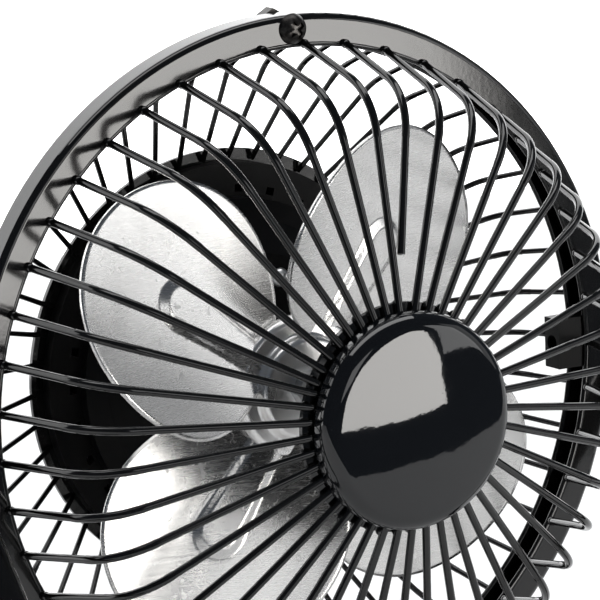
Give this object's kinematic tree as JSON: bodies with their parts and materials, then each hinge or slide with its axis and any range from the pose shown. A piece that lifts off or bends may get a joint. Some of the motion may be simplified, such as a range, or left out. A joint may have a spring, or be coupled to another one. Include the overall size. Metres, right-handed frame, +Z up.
{
  "type": "usb desk fan",
  "caption": "Small metal desk fan with a round wire guard, a lobed aluminium blade, a domed centre cap and a motor housing, tilting between the legs of a bent rod stand.",
  "frame": {"origin": "centre of the box round the fan on the table under its feet", "axes": "+Z up, -Y the way the fan blows, +X along the tilt axis to the right seen from the front"},
  "size_m": [0.1526, 0.12, 0.153],
  "materials": {
    "black_paint": "gloss black stove enamel on steel wire and sheet",
    "cap_enamel": "high gloss black enamel",
    "blackened_steel": "blackened steel screw",
    "plated_steel": "bright zinc plate",
    "black_plastic": "satin moulded black",
    "rocker_plastic": "gloss moulded black",
    "rubber": "matte black rubber",
    "blade_aluminium": "brushed and scuffed sheet",
    "ferrite": "ground ferrite",
    "core_steel": "stacked steel sheets",
    "bronze": "sintered bronze",
    "copper": "enamelled copper",
    "carbon": "pressed carbon"
  },
  "bodies": {
    "stand": {"stand_rod": "black_paint", "rubber_feet": "rubber"},
    "head": {"front_ring": "black_paint", "front_hoop": "black_paint", "front_wires": "black_paint", "grille_plate": "black_paint", "grille_cap": "cap_enamel", "cap_screw": "plated_steel", "rear_ring": "black_paint", "rear_hoop": "black_paint", "rear_wires": "black_paint", "rear_weld_ring": "black_paint", "ring_screws": "blackened_steel", "ring_nuts": "blackened_steel", "pivot_blocks": "black_plastic", "pivot_spacers": "black_plastic", "pivot_screws": "blackened_steel", "pivot_washers": "plated_steel", "housing_front": "black_plastic", "housing_rear": "black_plastic", "housing_screws": "plated_steel", "motor_can": "plated_steel", "motor_end_cap": "black_plastic", "motor_screws": "plated_steel", "magnets": "ferrite", "front_bush": "bronze", "rear_bush": "bronze", "brushes": "carbon", "switch_body": "black_plastic", "cable_gland": "rubber"},
    "rotor": {"shaft": "plated_steel", "armature": "core_steel", "windings": "copper", "commutator": "copper", "fan_blade": "blade_aluminium", "blade_boss": "blade_aluminium", "blade_nut": "plated_steel"},
    "rocker": {"switch_rocker": "rocker_plastic"}
  },
  "joints": [
    {"name": "head_tilt", "type": "hinge", "parent": "stand", "child": "head", "pos_m": [0, -0.00241, 0.085], "axis": [-1, 0, 0], "range_deg": [-180, 180]},
    {"name": "blade_spin", "type": "hinge", "parent": "head", "child": "rotor", "pos_m": [0, 0, 0.085], "axis": [0, 1, 0], "continuous": true},
    {"name": "switch_press", "type": "hinge", "parent": "head", "child": "rocker", "pos_m": [0, 0.05118, 0.098], "axis": [-1, 0, 0], "range_deg": [0, 16]}
  ]
}
